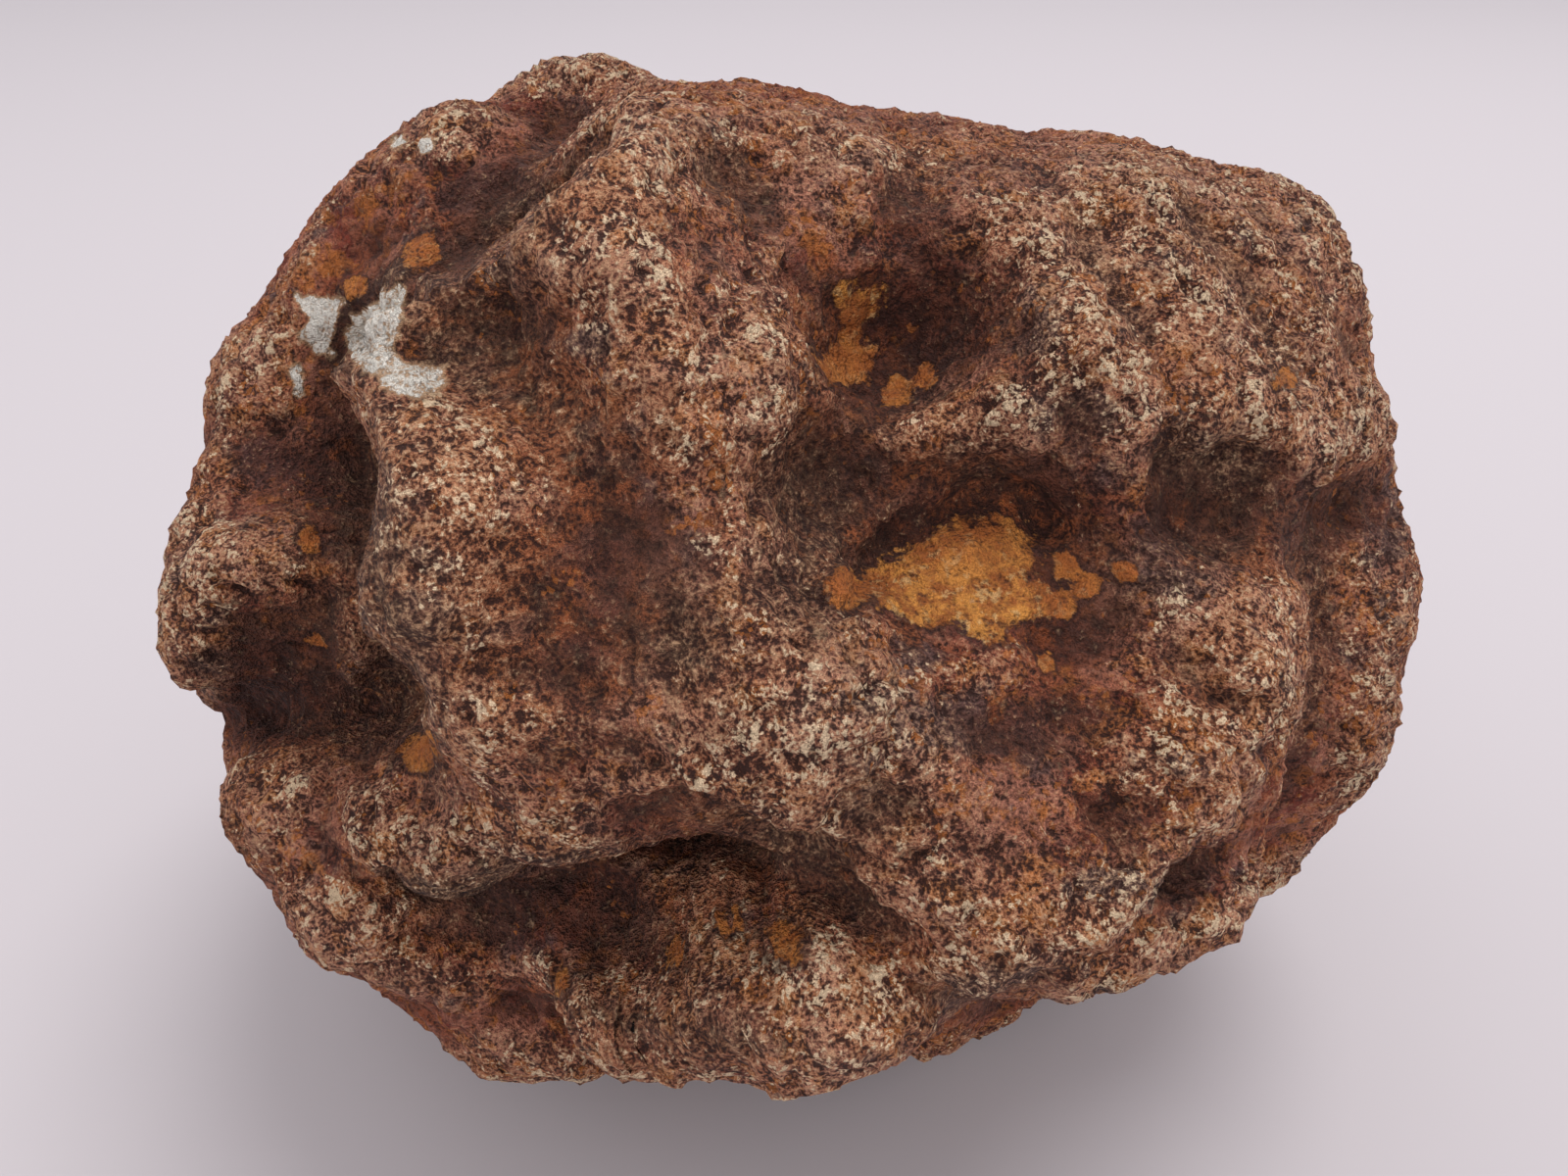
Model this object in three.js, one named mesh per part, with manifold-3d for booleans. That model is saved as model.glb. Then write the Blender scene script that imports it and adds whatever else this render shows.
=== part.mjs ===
// An unopened geode: a closed, lumpy nodule with a rough, iron-stained rind. It grew as one stone, so it
// is one solid. Millimetres, +Z up. The origin is at the middle of the box around the stone, on the level
// of the small flat spot that it rests on. The side with the two ochre hollows faces -Y.
//
// The form is a distance field, positive outside the stone: an ellipsoid, to which lobes and ridges are
// added and from which hollows and cracks are cut, each with its own rounding. A sphere of facets is then
// drawn in onto that field.
import * as THREE from "three";
import { ImprovedNoise } from "three/addons/math/ImprovedNoise.js";
import { mergeVertices } from "three/addons/utils/BufferGeometryUtils.js";
import Module from "manifold-3d";

// Driving dimensions
const CORE = { across: 79, deep: 70, tall: 63 }; // half sizes of the ellipsoid that all else sits on
const RESTING_LEVEL = -60; // the flat spot, under the middle of the core
const FACET_DETAIL = 21; // 20 x 22 x 22 facets
const FRONT_CROWDING = 0.32; // how far the facets are crowded towards the side that shows most relief
const EASING = 0.35; // share of the way that a corner moves to its neighbours, to ease steep walls
const FRONT = new THREE.Vector3(0, -0.85, 0.5).normalize();
const WAVES = [
  { length: 46, height: 2.4 }, // broad swellings between the lobes
  { length: 17, height: 1.6 }, // lumps
  { length: 8, height: 0.9 }, // knobs
];

// Where the photograph was taken from, about the middle of the core, and its lens in pixels of a 1600 x
// 1200 frame
const VIEW = {
  distance: 178,
  elevation: 30,
  aim: new THREE.Vector3(-1.5, 0, -2.2),
  focal: 1250,
  middle: [800, 600],
};

// Lumps of the sides that the photograph doesn't show; forward is how far round to the front they come
const LUMPS = { around: 120, least: 8, most: 16, forward: 0.38 };
const FRONT_EASE = 24; // depth over which a ledge fades out behind the edge of the side that shows

const radians = THREE.MathUtils.degToRad;

function viewpoint() {
  const e = radians(VIEW.elevation);
  const eye = new THREE.Vector3(0, -Math.cos(e), Math.sin(e)).multiplyScalar(VIEW.distance);
  const forward = VIEW.aim.clone().sub(eye).normalize();
  const right = new THREE.Vector3().crossVectors(forward, new THREE.Vector3(0, 0, 1)).normalize();
  const up = new THREE.Vector3().crossVectors(right, forward);
  return { eye, forward, right, up };
}

const view = viewpoint();

// Rounded joins of two distances a and b, with a rounding of k millimetres
function join(a, b, k) {
  const h = Math.max(k - Math.abs(a - b), 0) / k;
  return Math.min(a, b) - (h * h * k) / 4;
}

function cut(a, b, k) {
  return -join(-a, b, k);
}

function toEllipsoid(x, y, z, rx, ry, rz) {
  const k0 = Math.hypot(x / rx, y / ry, z / rz);
  const k1 = Math.hypot(x / (rx * rx), y / (ry * ry), z / (rz * rz));
  return k1 < 1e-9 ? -Math.min(rx, ry, rz) : (k0 * (k0 - 1)) / k1;
}

function toSegment(p, a, b) {
  const [bx, by, bz] = [b.x - a.x, b.y - a.y, b.z - a.z];
  const [px, py, pz] = [p.x - a.x, p.y - a.y, p.z - a.z];
  const t = Math.min(Math.max((px * bx + py * by + pz * bz) / (bx * bx + by * by + bz * bz), 0), 1);
  return Math.hypot(px - bx * t, py - by * t, pz - bz * t);
}

// The steps that have shaped the stone so far, in order
const steps = [(p) => toEllipsoid(p.x, p.y, p.z, CORE.across, CORE.deep, CORE.tall)];

// How the photograph shows a point: its pixels across (u) and down (v), the millimetres that a pixel
// spans there, and how much the point is on the side that shows, from 0 to 1
const towards = new THREE.Vector3();

function seenAt(p) {
  towards.subVectors(p, view.eye);
  const depth = towards.dot(view.forward);
  const span = depth / VIEW.focal;
  return {
    u: VIEW.middle[0] + towards.dot(view.right) / span,
    v: VIEW.middle[1] - towards.dot(view.up) / span,
    span,
    front: THREE.MathUtils.clamp((VIEW.distance - depth) / FRONT_EASE, 0, 1),
  };
}

function distance(p) {
  const seen = seenAt(p);
  let d = 0;
  for (const step of steps) d = step(p, d, seen);
  return d;
}

// The first point on the stone along a line from start, or the point where the line passes nearest to it
function meet(start, direction, reach) {
  const p = start.clone();
  const nearest = { gap: Infinity, p: start.clone() };
  for (let travelled = 0; travelled < reach; ) {
    const gap = distance(p);
    if (gap < nearest.gap) {
      nearest.gap = gap;
      nearest.p.copy(p);
    }
    if (gap < 0.02) break;
    const move = Math.max(gap * 0.6, 0.02);
    p.addScaledVector(direction, move);
    travelled += move;
  }
  return nearest.p;
}

function facingOut(roundDegrees, upDegrees) {
  const [round, up] = [radians(roundDegrees), radians(upDegrees)];
  return new THREE.Vector3(Math.sin(round) * Math.cos(up), -Math.cos(round) * Math.cos(up), Math.sin(up));
}

// A place on the stone, by where the photograph shows it (seen) or by the way it faces (degrees round
// from the front, towards +X, and degrees up)
function place({ seen, facing }) {
  if (seen) {
    const ray = view.forward.clone().multiplyScalar(VIEW.focal);
    ray.addScaledVector(view.right, seen[0] - VIEW.middle[0]);
    ray.addScaledVector(view.up, VIEW.middle[1] - seen[1]);
    const start = view.eye.clone().addScaledVector(ray.normalize(), 0.4 * VIEW.distance);
    return meet(start, ray, VIEW.distance);
  }
  const out = facingOut(...facing);
  return meet(out.clone().multiplyScalar(VIEW.distance), out.negate(), VIEW.distance);
}

// Axes at a place: out of the stone, across it and up along it, the last two turned by some degrees
function axesAt(p, turn = 0) {
  const step = 3;
  const out = new THREE.Vector3();
  for (const axis of ["x", "y", "z"]) {
    const [ahead, behind] = [p.clone(), p.clone()];
    ahead[axis] += step;
    behind[axis] -= step;
    out[axis] = distance(ahead) - distance(behind);
  }
  out.normalize().addScaledVector(p.clone().normalize(), 0.6).normalize();
  const across = new THREE.Vector3(0, 0, 1).cross(out);
  if (across.lengthSq() < 1e-3) across.set(1, 0, 0);
  across.normalize().applyAxisAngle(out, radians(turn));
  return { out, across, up: new THREE.Vector3().crossVectors(out, across) };
}

function toTurnedEllipsoid(p, centre, axes, half) {
  const [x, y, z] = [p.x - centre.x, p.y - centre.y, p.z - centre.z];
  return toEllipsoid(
    x * axes.across.x + y * axes.across.y + z * axes.across.z,
    x * axes.up.x + y * axes.up.y + z * axes.up.z,
    x * axes.out.x + y * axes.out.y + z * axes.out.z,
    ...half,
  );
}

// A lobe: half sizes across, up and out, standing rise millimetres proud of what it grows on
function lobe({ size, rise, turn, round = 8, ...where }) {
  const at = place(where);
  const axes = axesAt(at, turn);
  const centre = at.addScaledVector(axes.out, rise - size[2]);
  steps.push((p, d) => join(d, toTurnedEllipsoid(p, centre, axes, size), round));
}

// A hollow: half sizes across, up and in, with its floor depth millimetres under the surface
function hollow({ size, depth, turn, round = 4, ...where }) {
  const at = place(where);
  const axes = axesAt(at, turn);
  const centre = at.addScaledVector(axes.out, size[2] - depth);
  steps.push((p, d) => cut(d, toTurnedEllipsoid(p, centre, axes, size), round));
}

// The nearest of the segments of a route whose points lie on the stone, lifted out of it by lift
// millimetres
function toRoute(route, key, lift) {
  const points = route.map((where) => {
    const at = place({ [key]: where });
    return at.addScaledVector(axesAt(at).out, lift);
  });
  return (p) => {
    let nearest = Infinity;
    for (let i = 1; i < points.length; i++) {
      nearest = Math.min(nearest, toSegment(p, points[i - 1], points[i]));
    }
    return nearest;
  };
}

// A crack or valley: half its width, and the depth of its floor
function valley({ seen, facing, half, depth, round = 3 }) {
  const nearest = toRoute(seen || facing, seen ? "seen" : "facing", half - depth);
  steps.push((p, d) => cut(d, nearest(p) - half, round));
}

// A ridge: half its width, and how far its crest stands proud
function ridge({ seen, facing, half, rise, round = 5 }) {
  const nearest = toRoute(seen || facing, seen ? "seen" : "facing", rise - half);
  steps.push((p, d) => join(d, nearest(p) - half, round));
}

// The place on a line of pixels nearest to a pixel: how far away it is, on which hand of someone who
// walks along the line (1 left, -1 right), and how far it is from the nearer end of the line
function toLine(line, u, v) {
  let nearest = { gap: Infinity };
  let walked = 0;
  for (let i = 1; i < line.length; i++) {
    const [ax, ay] = line[i - 1];
    const [bx, by] = [line[i][0] - ax, line[i][1] - ay];
    const [px, py] = [u - ax, v - ay];
    const length = Math.hypot(bx, by);
    const t = THREE.MathUtils.clamp((px * bx + py * by) / (length * length), 0, 1);
    const gap = Math.hypot(px - bx * t, py - by * t);
    if (gap < nearest.gap) nearest = { gap, hand: Math.sign(by * px - bx * py), along: walked + t * length };
    walked += length;
  }
  nearest.fromEnd = Math.min(nearest.along, walked - nearest.along);
  return nearest;
}

// A ledge: on the left hand of someone who walks along it the ground stands height millimetres above the
// right hand, most of that by sinking the right hand. The step is wall millimetres wide on either hand,
// and reach millimetres away the ground is as it was.
const RAISED_SHARE = 0.18;

function ledge({ seen: line, height, wall = 4, reach = 14 }) {
  steps.push((p, d, { u, v, span, front }) => {
    const { gap, hand, fromEnd } = toLine(line, u, v);
    const away = gap * span;
    if (away > reach || front === 0) return d;
    const fade = (1 - away / reach) ** 2;
    const ends = Math.min((fromEnd * span) / reach, 1);
    const share = hand > 0 ? RAISED_SHARE : RAISED_SHARE - 1;
    return d - share * height * Math.min(away / wall, 1) * fade * ends * front;
  });
}

// The outline trims what stands outside it, with an ample rounding
function outline({ seen: line, round }) {
  const closed = [...line, line[0]];
  steps.push((p, d, { u, v, span }) => {
    const { gap } = toLine(closed, u, v);
    let inside = false;
    for (let i = 1; i < closed.length; i++) {
      const [[ax, ay], [bx, by]] = [closed[i - 1], closed[i]];
      if (ay > v !== by > v && u < ax + ((v - ay) * (bx - ax)) / (by - ay)) inside = !inside;
    }
    return cut(d, inside ? gap * span : -gap * span, round);
  });
}

// The great lobes
lobe({ facing: [-46, 50], size: [34, 27, 27], rise: 14, turn: -30, round: 6 }); // upper left shoulder
lobe({ facing: [-82, 34], size: [28, 28, 22], rise: 10, round: 8 }); // left side
lobe({ seen: [250, 560], size: [22, 19, 18], rise: 9, round: 5 }); // left flank
lobe({ seen: [640, 330], size: [32, 30, 26], rise: 10, round: 10 }); // left brow
lobe({ seen: [505, 570], size: [30, 34, 26], rise: 9, round: 7 }); // left cheek
lobe({ seen: [1110, 300], size: [40, 28, 26], rise: 8, round: 10 }); // right brow
lobe({ seen: [1190, 640], size: [29, 32, 26], rise: 7, round: 9 }); // right cheek
lobe({ seen: [810, 715], size: [18, 18, 16], rise: 7, round: 8 }); // nose
lobe({ seen: [1080, 840], size: [30, 18, 16], rise: 7, round: 7 }); // lower right cheek
lobe({ facing: [74, 34], size: [28, 30, 24], rise: 6, round: 10 }); // right shoulder
lobe({ facing: [66, 4], size: [26, 26, 22], rise: 6, round: 8 }); // right flank
lobe({ facing: [-62, -12], size: [24, 22, 20], rise: 6, round: 5 }); // left, low
lobe({ seen: [420, 840], size: [15, 12, 12], rise: 6, round: 5 }); // under the cheek
lobe({ seen: [290, 850], size: [14, 16, 15], rise: 9, round: 5 }); // lower left
lobe({ seen: [385, 950], size: [18, 12, 14], rise: 12, round: 4 }); // below it
lobe({ facing: [-48, -26], size: [24, 15, 18], rise: 14, round: 6 }); // low, left of the front
lobe({ seen: [520, 1045], size: [16, 9, 12], rise: 11, round: 5 }); // underside, left
lobe({ seen: [790, 1000], size: [24, 12, 16], rise: 14, round: 5 }); // tongue
lobe({ seen: [838, 1072], size: [9, 8, 10], rise: 10, round: 5 }); // its tip
lobe({ seen: [1110, 960], size: [27, 10, 14], rise: 9, round: 6 }); // lower right rim
lobe({ facing: [-116, 64], size: [32, 28, 22], rise: 7, round: 10 }); // top of the upper left shoulder
lobe({ facing: [10, 84], size: [36, 30, 26], rise: 2, round: 10 }); // crown
lobe({ facing: [96, 56], size: [28, 26, 24], rise: 3, round: 10 }); // right of the crown

// The back and the far side, which the photograph doesn't show
lobe({ facing: [150, 30], size: [34, 28, 24], rise: 5, round: 9 });
lobe({ facing: [-145, 12], size: [32, 30, 24], rise: 5, round: 9 });
lobe({ facing: [118, -4], size: [26, 24, 20], rise: 5, round: 8 });
hollow({ facing: [172, -2], size: [16, 12, 12], depth: 6, round: 7 });
hollow({ facing: [-112, 42], size: [12, 10, 10], depth: 5, round: 6 });
valley({ facing: [[128, 52], [150, 62], [-172, 58]], half: 5, depth: 4, round: 6 });
valley({ facing: [[-118, -18], [-128, 8], [-120, 30]], half: 5, depth: 5, round: 5 });

// Lumps and pits there, spread by the golden angle
for (let i = 0; i < LUMPS.around; i++) {
  const round = (i * 137.508) % 360;
  const up = THREE.MathUtils.radToDeg(Math.asin(1 - (2 * i + 1) / LUMPS.around));
  if (facingOut(round, up).dot(view.forward) < -LUMPS.forward) continue;
  const size = LUMPS.least + (LUMPS.most - LUMPS.least) * ((i * 0.618) % 1);
  const spot = { facing: [round, up], turn: 47 * i, round: 4 };
  if (i % 3 === 2) hollow({ ...spot, size: [size, 0.7 * size, 0.8 * size], depth: 0.35 * size });
  else lobe({ ...spot, size: [1.2 * size, size, size], rise: 0.25 * size });
}

// Ledges, high ground on the left hand
const CHEEK_EDGE = [
  [350, 250], [346, 377], [372, 430], [367, 462], [374, 525], [380, 570], [396, 616], [420, 656],
  [440, 700], [436, 730], [455, 765], [500, 800], [560, 830],
];
const BROW_RIM = [
  [720, 100], [639, 130], [588, 161], [539, 204], [522, 230], [448, 263], [388, 286], [352, 328],
  [343, 400],
];
const NOSE_OVERHANG = [
  [560, 800], [650, 830], [702, 818], [750, 834], [791, 852], [827, 856], [880, 896], [925, 932],
  [1010, 950], [1090, 950],
];
const LOWER_CRACK = [
  [360, 870], [391, 884], [434, 908], [483, 912], [523, 880], [610, 880], [670, 892], [730, 900],
];
const RIGHT_EDGE = [
  [1010, 950], [1090, 945], [1158, 918], [1222, 871], [1285, 819], [1311, 748], [1330, 653], [1309, 570],
  [1325, 500], [1392, 470], [1440, 440],
];
const UNDERSIDE_EDGE = [
  [300, 930], [349, 977], [389, 1008], [470, 1022], [523, 997], [568, 1004], [595, 1030], [630, 1042],
  [715, 1028], [804, 1062], [836, 1075], [880, 1064], [947, 1019], [1000, 1004], [1100, 985], [1200, 930],
];
const KNOB_EDGE = [[330, 560], [329, 626], [346, 672], [388, 707], [440, 740]];
const LOWER_LEFT_CREASE = [[325, 740], [323, 800], [318, 860], [300, 900]];

ledge({ seen: CHEEK_EDGE, height: 20, wall: 3.5, reach: 24 });
ledge({ seen: BROW_RIM, height: 16, wall: 3.5, reach: 18 });
ledge({ seen: NOSE_OVERHANG, height: 15, wall: 4, reach: 18 });
ledge({ seen: LOWER_CRACK, height: 10, wall: 3, reach: 11 });
ledge({ seen: RIGHT_EDGE, height: 12, wall: 3.5, reach: 16 });
ledge({ seen: UNDERSIDE_EDGE, height: 15, wall: 3, reach: 11 });
ledge({ seen: KNOB_EDGE, height: 9, wall: 3, reach: 9 });
ledge({ seen: LOWER_LEFT_CREASE, height: 8, wall: 3, reach: 10 });

// Hollows and grooves of the side that shows
// the open end of the crack
valley({ seen: [[388, 284], [362, 308], [348, 340], [342, 378]], half: 2, depth: 6, round: 2 });
hollow({ seen: [470, 318], size: [11, 7.5, 12], depth: 13, turn: 15, round: 2.5 }); // pit behind the quartz
hollow({ seen: [490, 190], size: [14, 9, 10], depth: 7, turn: 20, round: 5 });
hollow({ seen: [290, 470], size: [11, 7, 8], depth: 5, round: 5 });
hollow({ seen: [350, 510], size: [4, 8, 7], depth: 5, round: 3 });
hollow({ seen: [283, 650], size: [6, 5, 6], depth: 4.5, round: 2.5 });
valley({ seen: [[205, 735], [250, 722], [320, 728], [372, 720]], half: 4.5, depth: 7, round: 4 });
valley({ seen: [[800, 170], [830, 300], [840, 420], [862, 500]], half: 10, depth: 4, round: 8 });
valley({ seen: [[945, 190], [955, 260], [950, 390]], half: 5, depth: 3.5, round: 4 });
ridge({ seen: [[760, 260], [790, 400], [800, 500], [830, 600], [850, 690]], half: 5, rise: 3, round: 4 });
ridge({ seen: [[1010, 220], [1060, 330], [1100, 380]], half: 6, rise: 2, round: 6 });
hollow({ seen: [625, 625], size: [16, 11, 11], depth: 7, round: 6 });
hollow({ seen: [590, 450], size: [8, 8, 8], depth: 5, round: 4 });
hollow({ seen: [930, 325], size: [10, 8, 10], depth: 9, round: 3 }); // upper ochre hollow
hollow({ seen: [862, 505], size: [7, 8, 9], depth: 8, round: 3 });
hollow({ seen: [1010, 560], size: [15, 9, 10], depth: 9, round: 3 }); // lower ochre hollow
hollow({ seen: [1110, 435], size: [5, 4, 4], depth: 2.5, round: 3 });
hollow({ seen: [1160, 600], size: [8, 10, 7], depth: 3, round: 5 });
hollow({ seen: [1270, 495], size: [7, 8, 10], depth: 10, round: 2.5 }); // pit on the right
hollow({ seen: [1110, 735], size: [9, 6, 7], depth: 4.5, round: 4 });
hollow({ seen: [890, 835], size: [5, 5, 5], depth: 3, round: 3 });
hollow({ seen: [740, 875], size: [17, 5, 9], depth: 7, round: 3 }); // dark recess under the nose
hollow({ seen: [590, 950], size: [14, 7, 10], depth: 8, round: 4 });
ridge({ seen: [[1165, 210], [1210, 300], [1270, 425], [1335, 480]], half: 6, rise: 2, round: 6 });

const OUTLINE = [
  [571, 62], [604, 53], [646, 62], [700, 88], [850, 110], [1000, 126], [1040, 143], [1100, 137],
  [1200, 152], [1300, 172], [1362, 240], [1410, 300], [1427, 360], [1421, 420], [1425, 456], [1450, 540],
  [1454, 590], [1446, 641], [1428, 680], [1419, 736], [1376, 811], [1321, 867], [1297, 910], [1240, 960],
  [1115, 1018], [1050, 1062], [947, 1082], [911, 1079], [840, 1113], [800, 1100], [773, 1079], [684, 1070],
  [604, 1055], [532, 1079], [492, 1079], [407, 1044], [345, 986], [300, 937], [240, 860], [219, 790],
  [220, 745], [183, 700], [166, 620], [180, 540], [214, 460], [220, 380], [241, 340], [299, 260],
  [328, 220], [352, 180], [391, 140], [469, 100],
];

outline({ seen: OUTLINE, round: 3 });

// Waves of noise over the whole stone, which join the lobes into one natural surface
const noise = new ImprovedNoise();
for (const { length, height } of WAVES) {
  steps.push((p, d) => d - height * noise.noise(p.x / length + 5.3, p.y / length + 1.7, p.z / length + 8.1));
}

// A sphere of facets drawn in onto the field
function drawnIn() {
  const sphere = new THREE.IcosahedronGeometry(1, FACET_DETAIL);
  sphere.deleteAttribute("normal");
  sphere.deleteAttribute("uv");
  const geometry = mergeVertices(sphere, 1e-5);
  const corners = geometry.attributes.position;
  const outside = 1.3 * CORE.across;
  for (let i = 0; i < corners.count; i++) {
    const out = new THREE.Vector3().fromBufferAttribute(corners, i);
    out.addScaledVector(FRONT, FRONT_CROWDING).normalize();
    const at = meet(out.clone().multiplyScalar(outside), out.negate(), outside);
    corners.setXYZ(i, at.x, at.y, at.z);
  }
  return geometry;
}

// Takes the sawteeth off steep walls: each corner moves part of the way to the middle of its neighbours
function eased(geometry, share) {
  const corners = geometry.attributes.position;
  const index = geometry.index.array;
  const sums = new Float64Array(3 * corners.count);
  const counts = new Float64Array(corners.count);
  for (let i = 0; i < index.length; i++) {
    const [here, next] = [index[i], index[i % 3 === 2 ? i - 2 : i + 1]];
    sums[3 * here] += corners.getX(next);
    sums[3 * here + 1] += corners.getY(next);
    sums[3 * here + 2] += corners.getZ(next);
    counts[here]++;
  }
  for (let i = 0; i < corners.count; i++) {
    const at = new THREE.Vector3().fromBufferAttribute(corners, i);
    const middle = new THREE.Vector3().fromArray(sums, 3 * i).divideScalar(counts[i]);
    at.lerp(middle, share);
    corners.setXYZ(i, at.x, at.y, at.z);
  }
  return geometry;
}

const wasm = await Module();
wasm.setup();

function toSolid(geometry) {
  return new wasm.Manifold(
    new wasm.Mesh({
      numProp: 3,
      vertProperties: new Float32Array(geometry.attributes.position.array),
      triVerts: new Uint32Array(geometry.index.array),
    }),
  );
}

function toGeometry(solid) {
  const { vertProperties, triVerts } = solid.getMesh();
  const geometry = new THREE.BufferGeometry();
  geometry.setAttribute("position", new THREE.BufferAttribute(vertProperties, 3));
  geometry.setIndex(new THREE.BufferAttribute(triVerts, 1));
  return geometry;
}

// Everything under the resting level comes off, which leaves the flat spot
function restingBlock() {
  const side = 4 * CORE.across;
  const block = new THREE.BoxGeometry(side, side, side).translate(0, 0, RESTING_LEVEL - side / 2);
  block.deleteAttribute("normal");
  block.deleteAttribute("uv");
  return mergeVertices(block);
}

const form = toGeometry(toSolid(eased(drawnIn(), EASING)).subtract(toSolid(restingBlock())));
form.computeBoundingBox();
form.computeVertexNormals();
const middle = form.boundingBox.getCenter(new THREE.Vector3());

const rind = new THREE.MeshStandardMaterial({ color: 0x6b4636, roughness: 0.92, metalness: 0 });
const geode = new THREE.Mesh(form, rind);
geode.name = "geode";
geode.position.set(-middle.x, -middle.y, -form.boundingBox.min.z);

const stone = new THREE.Group();
stone.add(geode);
export default stone;
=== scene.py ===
# %% [markdown]
# An unopened geode is a closed nodule about as big as a small melon. It grew as one stone, so the model
# is one closed mesh. Its look comes from four scales at once: the great lobes and hollows, the ledges
# between them, lumps of a few millimetres, and grains of about a millimetre. This lesson adds them in
# that order, and colours them last.

# %% Load the frame
import math

import bmesh
import bpy
import numpy as np
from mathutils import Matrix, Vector, noise
from mathutils.bvhtree import BVHTree


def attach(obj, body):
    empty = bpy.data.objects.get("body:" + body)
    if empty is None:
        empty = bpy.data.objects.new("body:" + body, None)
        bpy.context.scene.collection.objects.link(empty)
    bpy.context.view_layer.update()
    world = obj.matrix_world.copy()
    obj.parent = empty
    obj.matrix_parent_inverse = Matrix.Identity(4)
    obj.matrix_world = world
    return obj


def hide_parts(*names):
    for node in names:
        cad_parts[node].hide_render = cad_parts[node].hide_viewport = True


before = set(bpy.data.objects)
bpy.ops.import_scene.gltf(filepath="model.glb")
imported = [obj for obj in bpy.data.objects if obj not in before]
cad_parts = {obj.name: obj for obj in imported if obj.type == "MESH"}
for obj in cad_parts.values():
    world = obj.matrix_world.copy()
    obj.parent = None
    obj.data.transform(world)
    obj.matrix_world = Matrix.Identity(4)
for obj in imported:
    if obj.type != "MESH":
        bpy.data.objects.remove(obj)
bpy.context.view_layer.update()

# %% [markdown]
# Everything that is listed is placed through the camera: a pixel of a 1600 x 1200 picture, taken
# from 178 mm in front of the stone's middle and 30 degrees above it. Sizes stay in millimetres, so that a
# feature keeps its size wherever it lies.

# %% The view, and how it sees a place
MM = 0.001
CORE_MIDDLE = np.array([-0.12, 7.21, 60.0])  # of the solid, mm from the part's origin
DISTANCE = 178.0
ELEVATION = math.radians(30)
AIM = np.array([-1.5, 0.0, -2.2])  # mm from the core's middle
FOCAL = 1250.0  # in pixels
PICTURE = (1600, 1200)
FRONT_EASE = 24.0  # depth over which a feature fades out behind the edge of the side that shows

eye = DISTANCE * np.array([0, -math.cos(ELEVATION), math.sin(ELEVATION)])
forward = (AIM - eye) / np.linalg.norm(AIM - eye)
right = np.cross(forward, (0, 0, 1))
right = right / np.linalg.norm(right)
upward = np.cross(right, forward)
print("eye, in mm from the core's middle:", np.round(eye, 1))


def seen(places):
    """Pixels across and down, millimetres a pixel, and 1 on the side that shows to 0 behind it."""
    towards = places - eye
    depth = towards @ forward
    span = depth / FOCAL
    u = PICTURE[0] / 2 + (towards @ right) / span
    v = PICTURE[1] / 2 - (towards @ upward) / span
    return u, v, span, np.clip((DISTANCE - depth) / FRONT_EASE, 0, 1)


# %% [markdown]
# The solid has facets of about 4 mm. A finer skin is drawn over it: a cube's faces are cut into squares
# and blown up to a sphere, which has no poles, and each corner is then drawn in until it meets the
# smoothed solid. The squares are crowded towards the front, where the grain is seen close up.

# %% A smooth base from the solid
SQUARES = 128  # along each edge of the cube
CROWDING = 0.42  # how far the sphere's middle moves back, as a share of its radius
SOFTENING = 1  # passes that take the teeth off the solid's steep walls


def softened_base():
    """A search tree of the solid, softened and rounded, in mm from the core's middle."""
    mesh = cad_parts["geode"].data
    form = bmesh.new()
    form.from_mesh(mesh)
    bmesh.ops.remove_doubles(form, verts=form.verts, dist=1e-6)
    for _ in range(SOFTENING):
        bmesh.ops.smooth_vert(form, verts=form.verts, factor=0.5, use_axis_x=True, use_axis_y=True,
                              use_axis_z=True)
    base = bpy.data.meshes.new("base")
    form.to_mesh(base)
    form.free()
    holder = bpy.data.objects.new("base", base)
    bpy.context.scene.collection.objects.link(holder)
    rounding = holder.modifiers.new("rounding", "SUBSURF")
    rounding.levels = 1
    ready = holder.evaluated_get(bpy.context.evaluated_depsgraph_get())
    tree_form = bmesh.new()
    tree_form.from_mesh(ready.to_mesh())
    for corner in tree_form.verts:
        corner.co = corner.co / MM - Vector(CORE_MIDDLE)
    tree = BVHTree.FromBMesh(tree_form)
    print("base:", len(tree_form.verts), "corners")
    tree_form.free()
    bpy.data.objects.remove(holder)
    return tree


base_tree = softened_base()

# %% Draw the skin in over it


def sphere_of_squares():
    """Unit directions, and the four corners of each square."""
    cube = bmesh.new()
    bmesh.ops.create_cube(cube, size=2)
    bmesh.ops.subdivide_edges(cube, edges=cube.edges, cuts=SQUARES - 1, use_grid_fill=True)
    corners = np.array([corner.co for corner in cube.verts])
    squares = np.array([[corner.index for corner in face.verts] for face in cube.faces])
    cube.free()
    corners = np.tan(corners * math.pi / 4)
    return corners / np.linalg.norm(corners, axis=1, keepdims=True), squares


directions, squares = sphere_of_squares()
directions = directions - CROWDING * forward
directions /= np.linalg.norm(directions, axis=1, keepdims=True)
START = 120.0  # mm from the middle, which is outside the solid everywhere
skin = np.array([base_tree.ray_cast(Vector(START * way), Vector(-way))[0] for way in directions])
edges = np.unique(np.sort(np.concatenate([squares[:, [i, (i + 1) % 4]] for i in range(4)]), axis=1), axis=0)
neighbours = np.bincount(edges.ravel(), minlength=len(skin))[:, None]


def average(values):
    """The mean of each corner's neighbours."""
    total = np.zeros_like(values)
    for axis in range(values.shape[1]):
        total[:, axis] = np.bincount(edges[:, 0], values[edges[:, 1], axis], len(values))
        total[:, axis] += np.bincount(edges[:, 1], values[edges[:, 0], axis], len(values))
    return total / neighbours


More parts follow.
